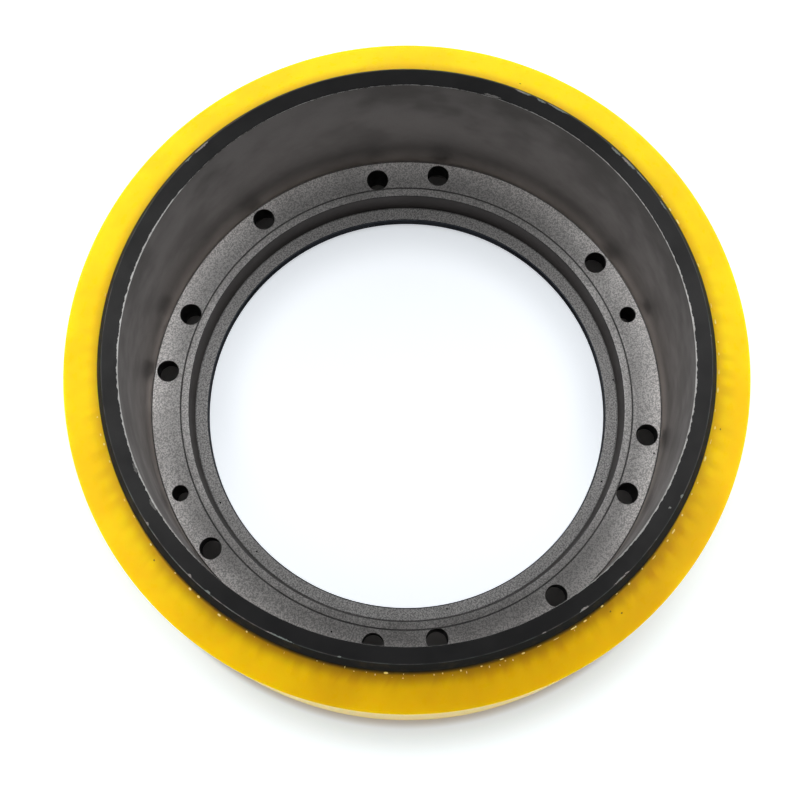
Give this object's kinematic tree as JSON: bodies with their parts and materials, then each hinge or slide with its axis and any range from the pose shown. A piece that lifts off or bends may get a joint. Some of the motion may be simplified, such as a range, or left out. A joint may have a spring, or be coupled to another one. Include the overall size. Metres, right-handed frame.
{
  "type": "forklift drive wheel",
  "caption": "Drive wheel: a deep iron rim with an inner bolting flange and a stepped pilot bore, carrying a bonded yellow polyurethane tyre with sloping sides.",
  "frame": {"origin": "on the wheel's axis, in the plane of the rim end that lies on the floor", "axes": "+Z along the wheel's axis towards the open end of the rim, +X through one of the bolt holes"},
  "size_m": [0.343, 0.343, 0.14],
  "materials": {
    "hub_iron": "rim ends in worn satin black paint, wall and flange turned bare and oiled",
    "tyre_polyurethane": "cast translucent yellow polyurethane, smooth satin"
  },
  "bodies": {
    "root": {"flanged_hub": "hub_iron", "polyurethane_tyre": "tyre_polyurethane"}
  },
  "joints": []
}
